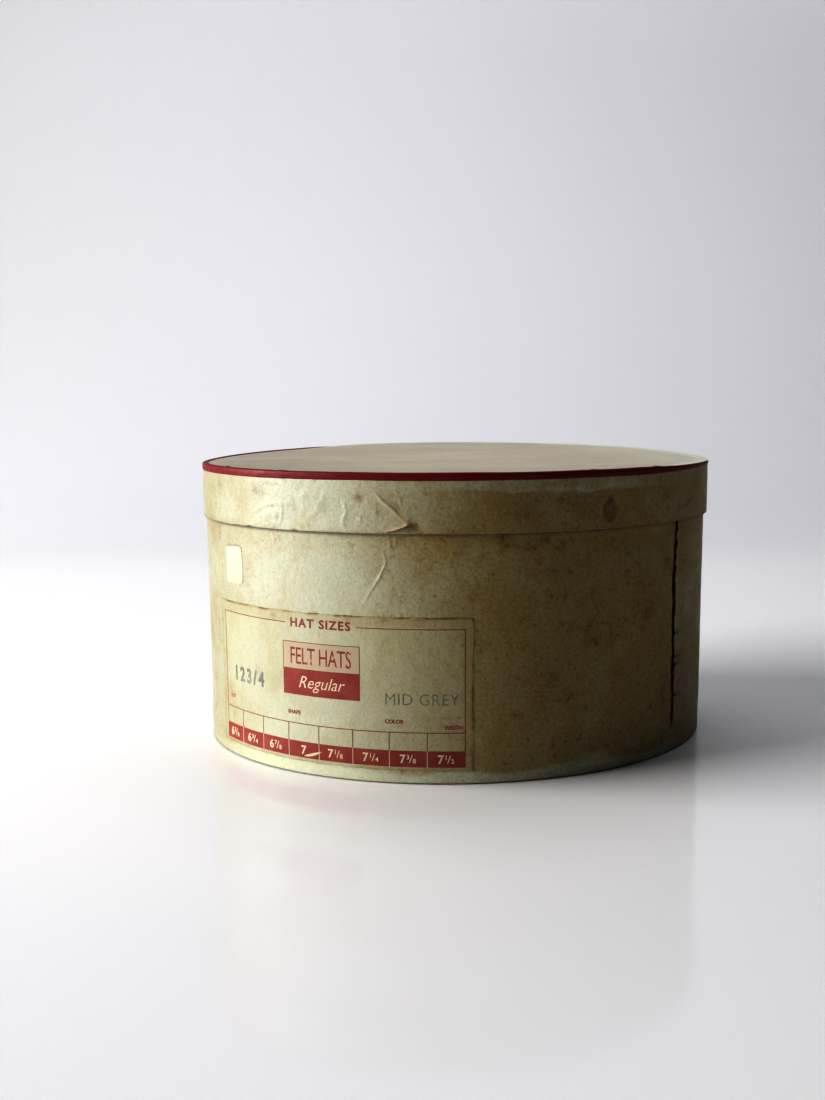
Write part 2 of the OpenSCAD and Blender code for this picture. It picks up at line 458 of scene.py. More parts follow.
class Nodes:
    """A material's node tree, with short calls for the nodes used here."""

    def __init__(self, name, roughness, specular=0.3):
        self.material = bpy.data.materials.new(name)
        self.material.use_nodes = True
        self.tree = self.material.node_tree
        self.shader = self.tree.nodes["Principled BSDF"]
        self.shader.inputs["Roughness"].default_value = roughness
        self.shader.inputs["Specular IOR Level"].default_value = specular
        self.place = self.tree.nodes.new("ShaderNodeTexCoord").outputs["Object"]

    def node(self, kind, **settings):
        made = self.tree.nodes.new(kind)
        for key, value in settings.items():
            setattr(made, key, value)
        return made

    def feed(self, socket, value):
        if isinstance(value, bpy.types.NodeSocket):
            self.tree.links.new(value, socket)
        else:
            socket.default_value = value

    def stretched(self, scale):
        """Object coordinates stretched by a scale for each axis."""
        made = self.node("ShaderNodeMapping")
        self.feed(made.inputs["Vector"], self.place)
        made.inputs["Scale"].default_value = scale
        return made.outputs["Vector"]

    def noise(self, size, detail=4.0, roughness=0.55, scale=(1, 1, 1), distortion=0.0):
        """Cloudy noise with lumps about one size across."""
        made = self.node("ShaderNodeTexNoise")
        self.feed(made.inputs["Vector"], self.stretched(scale))
        made.inputs["Scale"].default_value = 1.0 / size
        made.inputs["Detail"].default_value = detail
        made.inputs["Roughness"].default_value = roughness
        made.inputs["Distortion"].default_value = distortion
        return made.outputs["Fac"]

    def attribute(self, name):
        made = self.node("ShaderNodeAttribute", attribute_name=name)
        return made.outputs["Fac"]

    def ramp(self, value, low, high, top=1.0, bottom=0.0):
        """A value taken from bottom to top as the input goes from low to high."""
        made = self.node("ShaderNodeMapRange", interpolation_type="SMOOTHSTEP")
        self.feed(made.inputs["Value"], value)
        for key, number in (("From Min", low), ("From Max", high), ("To Min", bottom), ("To Max", top)):
            made.inputs[key].default_value = number
        return made.outputs["Result"]

    def math(self, operation, a, b):
        made = self.node("ShaderNodeMath", operation=operation)
        self.feed(made.inputs[0], a)
        self.feed(made.inputs[1], b)
        return made.outputs[0]

    def times(self, a, b):
        return self.math("MULTIPLY", a, b)

    def mix(self, amount, first, second, blend="MIX"):
        """First colour, changed to the second by the amount."""
        made = self.node("ShaderNodeMix", data_type="RGBA", blend_type=blend)
        self.feed(made.inputs["Factor"], amount)
        self.feed(made.inputs["A"], first)
        self.feed(made.inputs["B"], second)
        return made.outputs["Result"]

    def finished(self, colour, cloud, rough, smoothest, layers):
        """The material, given its colour, its roughness by a cloud, and bumps of (height, depth) layers."""
        self.feed(self.shader.inputs["Base Color"], colour)
        self.feed(self.shader.inputs["Roughness"], self.ramp(cloud, 0.3, 0.7, rough, smoothest))
        previous = None
        for height, depth in layers:
            made = self.node("ShaderNodeBump")
            made.inputs["Strength"].default_value = 1.0
            made.inputs["Distance"].default_value = depth
            self.feed(made.inputs["Height"], height)
            if previous is not None:
                self.feed(made.inputs["Normal"], previous)
            previous = made.outputs["Normal"]
        self.feed(self.shader.inputs["Normal"], previous)
        return self.material


def aged_paper(name, base, browned_and_shade_tone, paled, foxing=1.0, mottled=0.5):
    """Old cover paper: greenish and brownish clouds, foxing, flecks and a fine pebbled grain.

    The attributes brown_and_painted_shade, fox, pale_and_painted_highlight, painted_shade_left, torn and
    grime_and_painted_shade say where it is browned and given warm painted shade, spotted, less faded and
    given painted highlights, given painted shade at the left, torn open, and dirty and given painted shadow."""
    n = Nodes(name, 0.48, 0.32)
    clouds = n.noise(0.085, detail=3.0)
    blotches = n.noise(0.02, detail=5.0, roughness=0.6)
    speckle = n.noise(0.0021, detail=3.0, roughness=0.75)
    grain = n.noise(0.0014, detail=3.0, roughness=0.6)
    # browning: real stains and browning, and painted warm shade toward the box's right-hand front
    brown_and_painted_shade = n.math("ADD", n.ramp(clouds, 0.42, 0.68, 0.26), n.attribute("brown_and_painted_shade"))
    colour = n.mix(brown_and_painted_shade, base, browned_and_shade_tone)
    colour = n.mix(n.ramp(blotches, 0.45, 0.68, 0.26), colour, browned_and_shade_tone)
    green = n.times(n.ramp(n.noise(0.035, detail=3.0), 0.5, 0.68), 0.16)
    colour = n.mix(green, colour, paled)
    patches = n.ramp(n.noise(0.05, detail=2.0, distortion=0.6), 0.38, 0.58)
    stains = n.times(n.ramp(n.noise(0.0095, detail=6.0, roughness=0.65), 0.55, 0.7), patches)
    flecks = n.times(n.ramp(n.noise(0.0042, detail=3.0), 0.6, 0.74), n.ramp(patches, 0.0, 1.0, 1.0, 0.35))
    dots = n.ramp(n.noise(0.0026, detail=1.0), 0.68, 0.77)
    broken = n.ramp(n.noise(0.0034, detail=4.0, roughness=0.7), 0.36, 0.6, 1.0, 0.25)
    fox = n.times(n.attribute("fox"), broken)
    stronger = n.ramp(n.attribute("brown_and_painted_shade"), 0.0, 0.9, 1.05, 0.4)
    rust = rgb(0.26, 0.12, 0.04)
    streaks = n.ramp(n.noise(0.007, detail=3.0, scale=(1, 1, 0.2)), 0.5, 0.72)
    for marks, amount, tone in (
        (stains, 0.8 * foxing, rust), (flecks, 0.6 * foxing, rust),
        (dots, 0.6 * foxing, rgb(0.2, 0.1, 0.045)), (streaks, 0.2, rgb(0.38, 0.35, 0.16)),
    ):
        colour = n.mix(n.times(marks, n.times(stronger, amount)), colour, tone)
    colour = n.mix(fox, colour, rgb(0.20, 0.085, 0.03))
    # paler: less faded bands and scuffs, and painted highlights: a sheen on the left of the front and a lit
    # lower lip of the rim
    colour = n.mix(n.attribute("pale_and_painted_highlight"), colour, paled)
    mottle = n.times(n.ramp(speckle, 0.34, 0.7), n.times(stronger, mottled))
    colour = n.mix(mottle, colour, rgb(0.56, 0.5, 0.38), "MULTIPLY")
    # painted shade, multiplied in round the box's left-hand end
    colour = n.mix(n.attribute("painted_shade_left"), colour, rgb(0.64, 0.62, 0.555), "MULTIPLY")
    colour = n.mix(n.attribute("torn"), colour, rgb(0.60, 0.44, 0.31))
    # dirt, and painted shadow on the wall under the rim and along its foot
    colour = n.mix(n.attribute("grime_and_painted_shade"), colour, rgb(0.035, 0.022, 0.012))
    layers = [(grain, 0.00013), (n.noise(0.003, detail=3.0), 0.00017), (n.noise(0.009, detail=3.0), 0.00024)]
    return n.finished(colour, blotches, 0.58, 0.42, layers)


def plain_paper(name, base, shade, roughness=0.6, grain=0.0001):
    """Paper or board with cloudy tone and a fine grain."""
    n = Nodes(name, roughness)
    blotches = n.noise(0.02, detail=6.0, roughness=0.65)
    colour = n.mix(n.ramp(n.noise(0.07), 0.35, 0.7, 0.5), base, shade)
    colour = n.mix(n.ramp(blotches, 0.4, 0.75, 0.45), colour, shade)
    colour = n.mix(n.ramp(n.noise(0.0016, detail=2.0), 0.4, 0.8, 0.25), colour, shade)
    # dirt, and painted shade where the boards show in the split and in the tear
    colour = n.mix(n.attribute("grime_and_painted_shade"), colour, rgb(0.02, 0.012, 0.008))
    layers = [(n.noise(0.0013, detail=3.0), grain), (n.noise(0.008), 2 * grain)]
    return n.finished(colour, blotches, roughness + 0.1, roughness - 0.08, layers)


def ink(name, base, worn):
    """Printed ink, thin in places."""
    n = Nodes(name, 0.5, 0.4)
    wear = n.noise(0.0022, detail=4.0, roughness=0.7)
    colour = n.mix(n.ramp(wear, 0.55, 0.8, 0.5), base, worn)
    colour = n.mix(n.ramp(n.noise(0.012), 0.4, 0.7, 0.35), colour, worn)
    layers = [(n.noise(0.0015, detail=3.0), 0.00006)]
    return n.finished(colour, wear, 0.58, 0.44, layers)


def top_paper_material():
    """Grey-beige paper of the lid's top, faintly streaked along its length, with a paler margin; its
    attributes add a painted reflection toward the right and painted shade at the left.
    """
    n = Nodes("grey_beige_top_paper", 0.42, 0.45)
    streaks = n.noise(0.009, detail=5.0, roughness=0.6, scale=(0.12, 1, 1))
    clouds = n.noise(0.09, detail=4.0, scale=(0.5, 1, 1))
    colour = n.mix(n.ramp(clouds, 0.35, 0.65, 0.75), rgb(0.53, 0.475, 0.37), rgb(0.46, 0.42, 0.32))
    colour = n.mix(n.ramp(streaks, 0.45, 0.72, 0.06), colour, rgb(0.39, 0.34, 0.25))
    blotches = n.noise(0.028, detail=6.0, roughness=0.65)
    colour = n.mix(n.ramp(blotches, 0.42, 0.68, 0.4), colour, rgb(0.40, 0.355, 0.26))
    # paler margin, with a painted reflection toward the right-hand end
    colour = n.mix(n.attribute("pale_and_painted_highlight"), colour, rgb(0.64, 0.65, 0.54))
    # painted shade, multiplied in on the left of the lid's top
    colour = n.mix(n.attribute("painted_shade_left"), colour, rgb(0.88, 0.87, 0.87), "MULTIPLY")
    colour = n.mix(n.ramp(n.noise(0.0045, detail=1.0), 0.7, 0.78, 0.4), colour, rgb(0.26, 0.17, 0.10))
    layers = [(n.noise(0.0015, detail=3.0), 0.00008), (n.noise(0.014, scale=(0.7, 1, 1)), 0.00016)]
    return n.finished(colour, clouds, 0.5, 0.4, layers)


def binding_material():
    """Crimson coated paper, worn dull in places."""
    n = Nodes("crimson_binding_paper", 0.45, 0.28)
    wear = n.noise(0.004, detail=5.0, roughness=0.65)
    colour = n.mix(n.ramp(wear, 0.45, 0.75, 0.55), rgb(0.175, 0.009, 0.013), rgb(0.125, 0.008, 0.011))
    colour = n.mix(n.ramp(n.noise(0.03), 0.5, 0.75, 0.4), colour, rgb(0.22, 0.022, 0.028))
    layers = [(n.noise(0.0012, detail=3.0), 0.00006), (n.noise(0.005), 0.0001)]
    return n.finished(colour, wear, 0.56, 0.4, layers)


MATERIALS = {
    # The second colour of each aged paper is its browned tone, also used for the painted warm shade toward
    # the right-hand front.
    "cover_paper": aged_paper(
        "aged_sage_paper", rgb(0.53, 0.545, 0.46), rgb(0.395, 0.30, 0.116), rgb(0.62, 0.645, 0.50)
    ),
    "bottom_paper": aged_paper(
        "aged_bottom_paper", rgb(0.50, 0.47, 0.33), rgb(0.40, 0.31, 0.18), rgb(0.47, 0.50, 0.38), foxing=1.3
    ),
    "label_paper": aged_paper(
        "aged_label_paper", rgb(0.53, 0.535, 0.435), rgb(0.41, 0.325, 0.142), rgb(0.56, 0.60, 0.46),
        foxing=0.6, mottled=0.3,
    ),
    "sticker_paper": plain_paper("cream_sticker_paper", rgb(0.48, 0.485, 0.39), rgb(0.43, 0.40, 0.29), 0.5),
    "lining_paper": plain_paper("cream_lining_paper", rgb(0.66, 0.61, 0.47), rgb(0.52, 0.43, 0.28)),
    "gummed_paper": plain_paper("brown_gummed_paper", rgb(0.45, 0.31, 0.17), rgb(0.32, 0.20, 0.10), 0.4),
    "pasteboard": plain_paper(
        "grey_brown_pasteboard", rgb(0.42, 0.34, 0.22), rgb(0.27, 0.20, 0.12), 0.8, grain=0.0002
    ),
    "top_paper": top_paper_material(),
    "binding_paper": binding_material(),
}


def write_attribute(piece, name, values):
    """Stores a number from 0 to 1 for each vertex of a piece, for its material to read."""
    made = piece.data.attributes.new(name, "FLOAT", "POINT")
    made.data.foreach_set("value", np.clip(values, 0, 1).astype(np.float32))


# (distance, height and radius, in mm, and strength) of brown spots
BODY_SPOTS = (
    (-4.2, 143.9, 3.2, 0.8), (-1.5, 141, 5, 0.3), (21.6, 143, 2.8, 0.75), (-15.7, 133.8, 2.4, 0.5),
    (26, 123.7, 2.4, 0.4), (53.5, 111.3, 1.8, 0.6), (115.5, 122.4, 5, 0.4), (98, 94.5, 5, 0.5),
    (55.5, 80, 2.2, 0.8), (51, 83, 6, 0.3), (114.4, 41.9, 3.2, 0.6), (27.5, 61, 5, 0.4),
    (67.5, 36.5, 3.5, 0.35), (37.4, 49.3, 4, 0.45), (-19, 84.6, 2.5, 0.5),
    (-20.8, 110.3, 3, 0.4), (-45, 128, 2, 0.35), (-99, 116, 1.8, 0.3), (-28, 137, 3, 0.3), (72, 60, 4, 0.3),
)
RIM_SPOTS = (
    (-156, 170.2, 4, 0.4), (-151, 168.7, 3, 0.35), (-195, 171, 3.5, 0.35), (-86.5, 167.8, 2.8, 0.8),
    (-90, 162, 1.6, 0.4), (-4.8, 166.3, 6, 0.25), (12, 160, 8, 0.25), (30, 163, 5, 0.35),
    (45, 158, 6, 0.3), (139.7, 159, 2.6, 0.5),
    (-122.7, 174.5, 3, 0.25), (-64, 163, 2.2, 0.5), (-30, 158, 4, 0.25), (-107, 160, 2, 0.3),
)


def spotted(s, z, spots):
    """How strongly each place is foxed by a table of spots."""
    return np.clip(sum(
        strength * bell(np.hypot(s - spot_s * MM, z - spot_z * MM) / (radius * MM))
        for spot_s, spot_z, radius, strength in spots
    ), 0.0, 1.0)


def painted_warm_shade_to_right(s):
    """How much warm painted shade browns the papers toward the box's right-hand front."""
    return 0.92 * after(s, -128, 138) * before(s, 340, 160)


def sticker_stain(s, z):
    """Brownish gum stain along the sticker's top and right-hand edges."""
    s0, s1, z0, z1 = wall_extent("price_sticker")
    beside = near(s - s1, 0.3, 0.9) * after(z - z0, 0, 1) * before(z - z1, 0, 1)
    above = near(z - z1, 0.3, 0.9) * after(s - s0, 0, 1) * before(s - s1, 0, 1)
    return 0.3 * beside + 0.5 * above


def painted_sheen_left_front(s):
    """How much a painted sheen pales the papers where the front begins to turn away at the left."""
    return 0.3 * near(s, -103, 34)


def painted_shade_left_end(s):
    """How much painted shade darkens the papers round the box's left-hand end."""
    return near(s, -235, 75)


# --- box


def make_wall_cover_paper():
    """The sage sheet round the wall, rounded over its top edge and turned under the bottom."""
    top_radius = -LINING_INSIDE / 2
    bottom_radius = 0.7 * MM
    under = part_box("bottom_cover_paper")[1].z
    path = straight((-TURN_UNDER, under), (-bottom_radius, under), 4)
    path += arc_path((-bottom_radius, under + bottom_radius), bottom_radius, -90, 0, 5)[:-1]
    side_top = (WALL_TOP - top_radius) / MM
    heights = spaced((1.3, 32, 1.75), (32, 80, 0.85), (80, 102, 1.75), (102, 147, 0.9), (147, side_top, 4.0))
    path += [(0.0, z) for z in heights]
    path += arc_path((-top_radius, WALL_TOP - top_radius), top_radius, 0, 180, 9)[1:]
    path += straight(path[-1], (LINING_INSIDE, TURN_IN_BOTTOM), 4)[1:] + [(LINING_INSIDE, TURN_IN_BOTTOM)]
    joint = JOINT_PLACE / MM
    back = joint - PERIMETER / MM
    s_values = spaced(
        (back, back + 8, 0.8), (back + 8, -262, 8.0), (-262, -88, 3.0), (-88, -64, 0.55),
        (-64, joint - 8, 2.8), (joint - 8, joint, 0.8),
    )

    def shape(s, z, out):
        on_outside = smooth((out + top_radius) / top_radius)
        from_left = s - (JOINT_PLACE - PERIMETER)
        from_right = JOINT_PLACE - s
        moved = s + split_edge(z, 1) * before(from_left, 5, 5) + split_edge(z, -1) * before(from_right, 5, 5)
        slack, relief = wall_slack(wrapped(s), z), wall_relief(wrapped(s), z)
        return on_wall(moved, z, out + slack + (relief - slack) * on_outside)

    solid = swept(path, PAPER, s_values, shape, False)
    piece = new_piece("cover_paper", "box", "cover_paper", solid, ["wall_cover_paper"])
    s, z = wall_places(piece)
    # painted shadow: a dark line on the wall just below the lid's rim
    painted_shadow_under_rim = 0.55 * near(z - RIM_BOTTOM, -0.7, 1.1) * (0.8 + 0.3 * field(45, s, z, 25))
    # painted shadow: darker along the wall's lowest edge, where it meets the floor
    painted_shadow_at_foot = 0.6 * before(z, 1.2, 0.8)
    split_line = 0.9 * near(s - JOINT_PLACE, 0, 1.5) * after(z - SPLIT_BOTTOM, 0, 3)
    lines = 0.5 * stroke(s, z, [(113.4, 16), (113.8, 10), (115.6, 3)], 0.9)
    lines = lines + 0.5 * stroke(s, z, [(98, 5.5), (103, 7.5), (108, 6.5), (112, 3.5)], 0.9)
    for height, reach in SPLIT_TEARS:
        away = (s - JOINT_PLACE) / MM - 2.6 - 1.2 * reach
        lines = lines + 0.9 * smooth(reach - 1.4) * bell(np.hypot(away / 2.4, (z / MM - height - 0.1) / 1.0))
    write_attribute(piece, "grime_and_painted_shade", painted_shadow_under_rim + painted_shadow_at_foot + 0.35 * split_line + lines)
    band_edge = 7.5 * MM + 1.6 * MM * field(41, s, 0 * s, 30)
    band = before(z - band_edge, 1.2, 4) * (0.85 + 0.15 * field(42, s, 0 * s, 40))
    band = band * after(s, -250, 90) * before(s, 150, 50)
    scrape = 0.5 * near(s, 56, 12) * near(z, 9, 4)
    write_attribute(piece, "pale_and_painted_highlight", band + scrape + painted_sheen_left_front(s))
    under_rim = 0.22 * after(z, 125, 22) * before(z - WALL_TOP, 0, 4)
    streaks = 0.3 * stroke(s, z, [(-68.5, 147), (-67.5, 137)], 1.4)
    streaks = streaks + 0.2 * stroke(s, z, [(-62, 147), (-62.6, 139)], 1.4)
    split = 0.9 * np.exp(-np.abs(s - JOINT_PLACE) / (0.9 * MM)) * after(z - SPLIT_BOTTOM, 0, 4)
    write_attribute(piece, "brown_and_painted_shade", under_rim + painted_warm_shade_to_right(s) + streaks + split)
    write_attribute(piece, "fox", 1.3 * spotted(s, z, BODY_SPOTS) + sticker_stain(s, z))
    write_attribute(piece, "painted_shade_left", painted_shade_left_end(s))


def slack_shape(s, z, out):
    """Points of the wall's hidden layers, which belly out with it."""
    return on_wall(s, z, out + wall_slack(wrapped(s), z))


def make_wall_layers():
    """The wall board, its lining and the tape behind its joint."""
    gap = 0.25 * MM
    joint, back = (JOINT_PLACE - gap) / MM, (JOINT_PLACE - PERIMETER + gap) / MM
    low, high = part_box("wall_strip")[0].z, BOARD_HIGH.z
    sunk = PAPER * 1.3
    s_values = spaced((back, back + 6, 1.5), (back + 6, joint - 6, 5.0), (joint - 6, joint, 1.5))
    solid = swept(upright(-sunk, low, high, 24), -WALL_INSIDE - sunk, s_values, slack_shape, False)
    board = new_piece("wall_board", "box", "pasteboard", solid, ["wall_strip"])
    s, z = wall_places(board)
    # painted shade: the board is darkened near the joint, where it shows through the split
    write_attribute(board, "grime_and_painted_shade", 1.4 * near(s - JOINT_PLACE, 0, 6))
    low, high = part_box("wall_lining_paper")[0].z, TURN_IN_BOTTOM
    solid = swept(upright(LINING_INSIDE, high, low, 24), THIN_PAPER, ROUND_THE_WALL, slack_shape, True)
    new_piece("wall_lining", "box", "lining_paper", solid, ["wall_lining_paper"])
    low, high = wall_extent("wall_joint_tape")[2:]
    half = JOINT_TAPE_WIDTH / 2
    s_values = np.linspace(JOINT_PLACE - half, JOINT_PLACE + half, 13)
    path = upright(LINING_INSIDE - PAPER, high, low, 40)

    def shape(s, z, out):
        ragged = 0.5 * MM * field(22, 0 * s, z, 5) * np.abs((s - JOINT_PLACE) / half) ** 5
        cockle = 0.12 * MM * field(23, s, z, 8)
        return slack_shape(s + ragged, z, out - np.abs(cockle))

    solid = swept(path, THIN_PAPER, s_values, shape, False)
    new_piece("joint_tape", "box", "gummed_paper", solid, ["wall_joint_tape"])


LABEL_S0, LABEL_S1, LABEL_Z0, LABEL_Z1 = wall_extent("size_label")
LABEL_OUT = 0.2 * MM
LABEL_THICKNESS = LABEL_OUT + 0.05 * MM
LABEL_SPOTS = (
    (-146, 94, 2.2, 0.5), (-72, 97, 2.0, 0.6), (-95, 96.5, 2, 0.4), (-52, 97, 2.4, 0.5), (-40, 60, 6, 0.2),
    (-33, 30, 5, 0.2), (-66, 34, 5, 0.15), (-30, 88, 3, 0.35), (-160, 60, 5, 0.12), (-28.5, 52, 2.5, 0.4),
)


def make_size_label():
    """The label, pasted over the cover paper and following its every dent."""
    s_values = np.linspace(LABEL_S0, LABEL_S1, 121)
    path = upright(0.0, LABEL_Z0, LABEL_Z1, 62)

    def shape(s, z, out):
        edge_s = 0.35 * MM * field(51, 0 * s + 0.3, z, 6)
        edge_z = 0.4 * MM * field(52, s, 0 * z, 7)
        half_s, half_z = (LABEL_S1 - LABEL_S0) / 2, (LABEL_Z1 - LABEL_Z0) / 2
        side_s = (s - LABEL_S0 - half_s) / half_s
        side_z = (z - LABEL_Z0 - half_z) / half_z
        s2 = s - edge_s * side_s**9
        z2 = z - np.abs(edge_z) * side_z**9
        return on_wall(s2, z2, out + wall_relief(s2, z2) + LABEL_OUT)

    solid = swept(path, LABEL_THICKNESS, s_values, shape, False)
    piece = new_piece("size_label_paper", "box", "label_paper", solid, ["size_label"])
    s, z = wall_places(piece)
    to_edge = np.minimum.reduce([s - LABEL_S0, LABEL_S1 - s, z - LABEL_Z0, LABEL_Z1 - z])
    rubbed = before(to_edge, 2.2, 2.2) * (0.45 + 0.4 * field(53, s, z, 12))
    margin_tint = 0.12 * before(to_edge, 6.5, 1)
    write_attribute(piece, "brown_and_painted_shade", rubbed + margin_tint + painted_warm_shade_to_right(s))
    write_attribute(piece, "pale_and_painted_highlight", 0.12 * after(to_edge, 5.5, 2))
    write_attribute(piece, "painted_shade_left", painted_shade_left_end(s))
    top_or_right = before(np.minimum(LABEL_Z1 - z, LABEL_S1 - s), 1.1, 1.1)
    dashes = 1.3 * top_or_right * smooth(1.6 * field(54, s, z, 9) + 0.35)
    pencil = 0.3 * stroke(s, z, [(-186.6, 29), (-187, 26), (-187.3, 22.5)], 0.9)
    write_attribute(piece, "fox", spotted(s, z, LABEL_SPOTS) + dashes)
    write_attribute(piece, "grime_and_painted_shade", pencil + 0.2 * dashes)


CAPITAL_HEIGHT = 0.69  # of a font of size 1
WELD_DISTANCE = 0.004 * MM
BAR_PIECE_LENGTH = 2.2 * MM
BAR_PIECE_HEIGHT = 5 * MM


class Print:
    """Flat printing laid on the label: bars and characters at places on the wall."""

    def __init__(self, lift):
        self.vertices, self.faces, self.lift = [], [], lift

    def place(self, s, z, above):
        """Points on the label's face; above is 1 on top of the ink and 0 in the paper."""
        out = wall_relief(s, z) + LABEL_OUT + (2 * above - 1) * self.lift
        return on_wall(s, z, out)

    def add(self, vertices, faces):
        first = len(self.vertices)
        self.vertices += vertices.tolist()
        self.faces += [[first + i for i in face] for face in faces]

    def bar(self, s0, s1, z0, z1):
        """Solid rectangle, cut into short lengths so that it follows the wall."""
        count = max(1, round(abs(s1 - s0) / BAR_PIECE_LENGTH))
        rows = max(1, round(abs(z1 - z0) / BAR_PIECE_HEIGHT))
        s, z = np.meshgrid(np.linspace(s0, s1, count + 1), np.linspace(z0, z1, rows + 1), indexing="ij")
        self.add(*shell(self.place(s, z, 1), self.place(s, z, 0), False))

    def frame(self, s0, s1, z0, z1, line):
        """Outline of a rectangle, in lines of one width."""
        self.bar(s0, s1, z0, z0 + line)
        self.bar(s0, s1, z1 - line, z1)
        self.bar(s0, s0 + line, z0 + line, z1 - line)
        self.bar(s1 - line, s1, z0 + line, z1 - line)

    def scrape(self, s0, s1, z0, z1, width):
        """Slanting sliver, widest in the middle, where the printing is scraped off."""
        count = 12
        for i in range(count):
            along = (i + 0.5) / count
            middle = z0 + (z1 - z0) * along**1.4
            half = width / 2 * math.sin(math.pi * along) ** 0.7
            start, end = s0 + (s1 - s0) * i / count, s0 + (s1 - s0) * (i + 1) / count
            self.bar(start, end, middle - half, middle + half)

    def text(self, words, s, z, height, spread=1.0, squeeze=1.0, thicken=0.0, lean=0.0):
        """Characters of a given capital height, centred on a place."""
        curve = bpy.data.curves.new("characters", "FONT")
        curve.body = words
        curve.size = height / CAPITAL_HEIGHT
        curve.space_character = spread
        curve.align_x = "CENTER"
        curve.resolution_u = 3
        curve.extrude = 1.0
        curve.offset = thicken
        curve.shear = lean
        holder = bpy.data.objects.new("characters", curve)
        bpy.context.scene.collection.objects.link(holder)
        bpy.context.view_layer.update()
        mesh = bpy.data.meshes.new_from_object(holder.evaluated_get(bpy.context.evaluated_depsgraph_get()))
        x, y, depth = np.array([vertex.co for vertex in mesh.vertices]).T
        faces = [list(p.vertices) for p in mesh.polygons]
        bpy.data.objects.remove(holder)
        bpy.data.curves.remove(curve)
        bpy.data.meshes.remove(mesh)
        self.add(self.place(s + x * squeeze, z - height / 2 + y, (depth + 1) / 2), faces)

    def finish(self, name, material):
        piece = new_piece(name, "box", "label_paper", (self.vertices, self.faces), (), material)
        edit = bmesh.new()
        edit.from_mesh(piece.data)
        bmesh.ops.remove_doubles(edit, verts=edit.verts, dist=WELD_DISTANCE)
        for face in edit.faces:
            face.smooth = False
        edit.to_mesh(piece.data)
        edit.free()


FRAME_S0 = LABEL_S0 + 5.5 * MM
FRAME_S1 = LABEL_S1 - 4.5 * MM
FRAME_Z0 = LABEL_Z0 + 2.4 * MM
FRAME_Z1 = LABEL_Z1 - 6.8 * MM
ROW_TOP = FRAME_Z0 + 9.8 * MM
TABLE_TOP = FRAME_Z0 + 20.9 * MM
HAT_SIZES = ("6 5 8", "6 3 4", "6 7 8", "7", "7 1 8", "7 1 4", "7 3 8", "7 1 2")
LINE = 0.45 * MM


def add_size(batch, words, s, z):
    """One hat size: a whole number, with a small fraction after it if it has one."""
    parts = words.split()
    whole, small = 5.0 * MM, 2.7 * MM
    if len(parts) == 1:
        batch.text(parts[0], s, z, whole, thicken=0.0002)
        return
    batch.text(parts[0], s - 3.4 * MM, z, whole, squeeze=0.95, thicken=0.0002)
    batch.text(parts[1], s - 0.2 * MM, z + 1.15 * MM, small, thicken=0.0001)
    batch.text("/", s + 1.5 * MM, z, whole * 0.95, squeeze=1.3)
    batch.text(parts[2], s + 3.6 * MM, z - 1.15 * MM, small, thicken=0.0001)


def column_edge(share):
    """Place of an edge between two columns of the table; the columns widen a little to the right."""
    return FRAME_S0 + share * (FRAME_S1 - FRAME_S0) - share * (1 - share) * (20.5 - 13 * share) * MM


